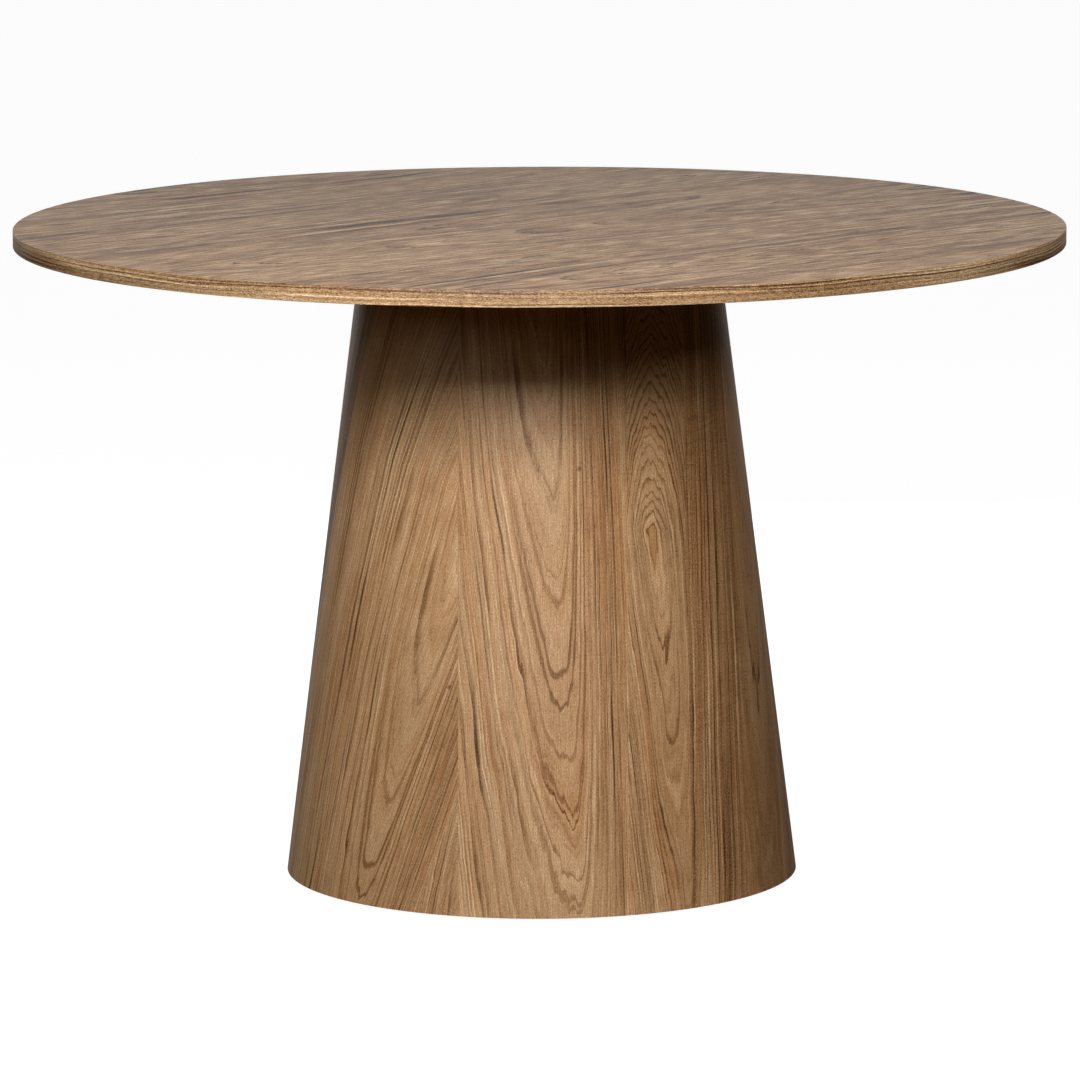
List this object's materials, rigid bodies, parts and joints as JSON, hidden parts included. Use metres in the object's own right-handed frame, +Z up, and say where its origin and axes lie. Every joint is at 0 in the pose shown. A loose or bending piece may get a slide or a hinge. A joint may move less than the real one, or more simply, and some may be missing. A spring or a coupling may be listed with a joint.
{
  "type": "pedestal dining table",
  "caption": "Round dining table: a thin veneered top fixed on a hollow flared drum base, with screw levelling feet hidden under the drum.",
  "frame": {"origin": "on the floor, under the middle of the table", "axes": "+Z up, front towards -Y, +X to the right seen from the front"},
  "size_m": [1.2, 1.2, 0.75],
  "materials": {
    "walnut_top": "satin clear lacquer on open-pored walnut veneer",
    "walnut_band": "satin clear lacquer on walnut edge veneer",
    "walnut_drum": "satin clear lacquer on open-pored walnut veneer",
    "fibreboard": "raw fibreboard",
    "plywood": "raw birch plywood",
    "softwood": "planed softwood",
    "zinc_steel": "bright zinc plate",
    "black_steel": "black oxide",
    "nylon": "moulded nylon"
  },
  "bodies": {
    "table": {"top_core": "fibreboard", "top_veneer_left": "walnut_top", "top_veneer_right": "walnut_top", "underside_veneer": "walnut_top", "edge_band": "walnut_band", "base_veneer_a": "walnut_drum", "base_veneer_b": "walnut_drum", "base_top_board": "plywood", "base_mid_ring": "plywood", "base_bottom_ring": "plywood", "base_shell_a": "plywood", "base_shell_b": "plywood", "base_upright_1": "softwood", "base_upright_2": "softwood", "base_upright_3": "softwood", "base_upright_4": "softwood", "upright_screw_top_1": "zinc_steel", "upright_screw_top_2": "zinc_steel", "upright_screw_top_3": "zinc_steel", "upright_screw_top_4": "zinc_steel", "upright_screw_bottom_1": "zinc_steel", "upright_screw_bottom_2": "zinc_steel", "upright_screw_bottom_3": "zinc_steel", "upright_screw_bottom_4": "zinc_steel", "top_insert_1": "zinc_steel", "top_insert_2": "zinc_steel", "top_insert_3": "zinc_steel", "top_insert_4": "zinc_steel", "top_washer_1": "zinc_steel", "top_washer_2": "zinc_steel", "top_washer_3": "zinc_steel", "top_washer_4": "zinc_steel", "top_bolt_1": "black_steel", "top_bolt_2": "black_steel", "top_bolt_3": "black_steel", "top_bolt_4": "black_steel", "foot_bush_1": "zinc_steel", "foot_bush_2": "zinc_steel", "foot_bush_3": "zinc_steel", "foot_bush_4": "zinc_steel", "foot_bush_5": "zinc_steel", "foot_bush_6": "zinc_steel"},
    "foot_1": {"foot_pad_1": "nylon"},
    "foot_2": {"foot_pad_2": "nylon"},
    "foot_3": {"foot_pad_3": "nylon"},
    "foot_4": {"foot_pad_4": "nylon"},
    "foot_5": {"foot_pad_5": "nylon"},
    "foot_6": {"foot_pad_6": "nylon"},
    "stem_1": {"foot_stem_1": "zinc_steel"},
    "stem_2": {"foot_stem_2": "zinc_steel"},
    "stem_3": {"foot_stem_3": "zinc_steel"},
    "stem_4": {"foot_stem_4": "zinc_steel"},
    "stem_5": {"foot_stem_5": "zinc_steel"},
    "stem_6": {"foot_stem_6": "zinc_steel"}
  },
  "joints": [
    {"name": "foot_travel_1", "type": "slide", "parent": "table", "child": "foot_1", "axis": [0, 0, -1], "range_m": [0, 0.012]},
    {"name": "stem_turn_1", "type": "hinge", "parent": "foot_1", "child": "stem_1", "pos_m": [0.06419, -0.23955, 0.02], "axis": [0, 0, -1], "range_deg": [0, 3460]},
    {"name": "foot_travel_2", "type": "slide", "parent": "table", "child": "foot_2", "axis": [0, 0, -1], "range_m": [0, 0.012]},
    {"name": "stem_turn_2", "type": "hinge", "parent": "foot_2", "child": "stem_2", "pos_m": [0.23955, -0.06419, 0.02], "axis": [0, 0, -1], "range_deg": [0, 3460]},
    {"name": "foot_travel_3", "type": "slide", "parent": "table", "child": "foot_3", "axis": [0, 0, -1], "range_m": [0, 0.012]},
    {"name": "stem_turn_3", "type": "hinge", "parent": "foot_3", "child": "stem_3", "pos_m": [0.17536, 0.17536, 0.02], "axis": [0, 0, -1], "range_deg": [0, 3460]},
    {"name": "foot_travel_4", "type": "slide", "parent": "table", "child": "foot_4", "axis": [0, 0, -1], "range_m": [0, 0.012]},
    {"name": "stem_turn_4", "type": "hinge", "parent": "foot_4", "child": "stem_4", "pos_m": [-0.06419, 0.23955, 0.02], "axis": [0, 0, -1], "range_deg": [0, 3460]},
    {"name": "foot_travel_5", "type": "slide", "parent": "table", "child": "foot_5", "axis": [0, 0, -1], "range_m": [0, 0.012]},
    {"name": "stem_turn_5", "type": "hinge", "parent": "foot_5", "child": "stem_5", "pos_m": [-0.23955, 0.06419, 0.02], "axis": [0, 0, -1], "range_deg": [0, 3460]},
    {"name": "foot_travel_6", "type": "slide", "parent": "table", "child": "foot_6", "axis": [0, 0, -1], "range_m": [0, 0.012]},
    {"name": "stem_turn_6", "type": "hinge", "parent": "foot_6", "child": "stem_6", "pos_m": [-0.17536, -0.17536, 0.02], "axis": [0, 0, -1], "range_deg": [0, 3460]}
  ],
  "couplings": [
    {"joint": "stem_turn_1", "follows": "foot_travel_1", "rad_per_m": 5026.5},
    {"joint": "stem_turn_2", "follows": "foot_travel_2", "rad_per_m": 5026.5},
    {"joint": "stem_turn_3", "follows": "foot_travel_3", "rad_per_m": 5026.5},
    {"joint": "stem_turn_4", "follows": "foot_travel_4", "rad_per_m": 5026.5},
    {"joint": "stem_turn_5", "follows": "foot_travel_5", "rad_per_m": 5026.5},
    {"joint": "stem_turn_6", "follows": "foot_travel_6", "rad_per_m": 5026.5}
  ]
}
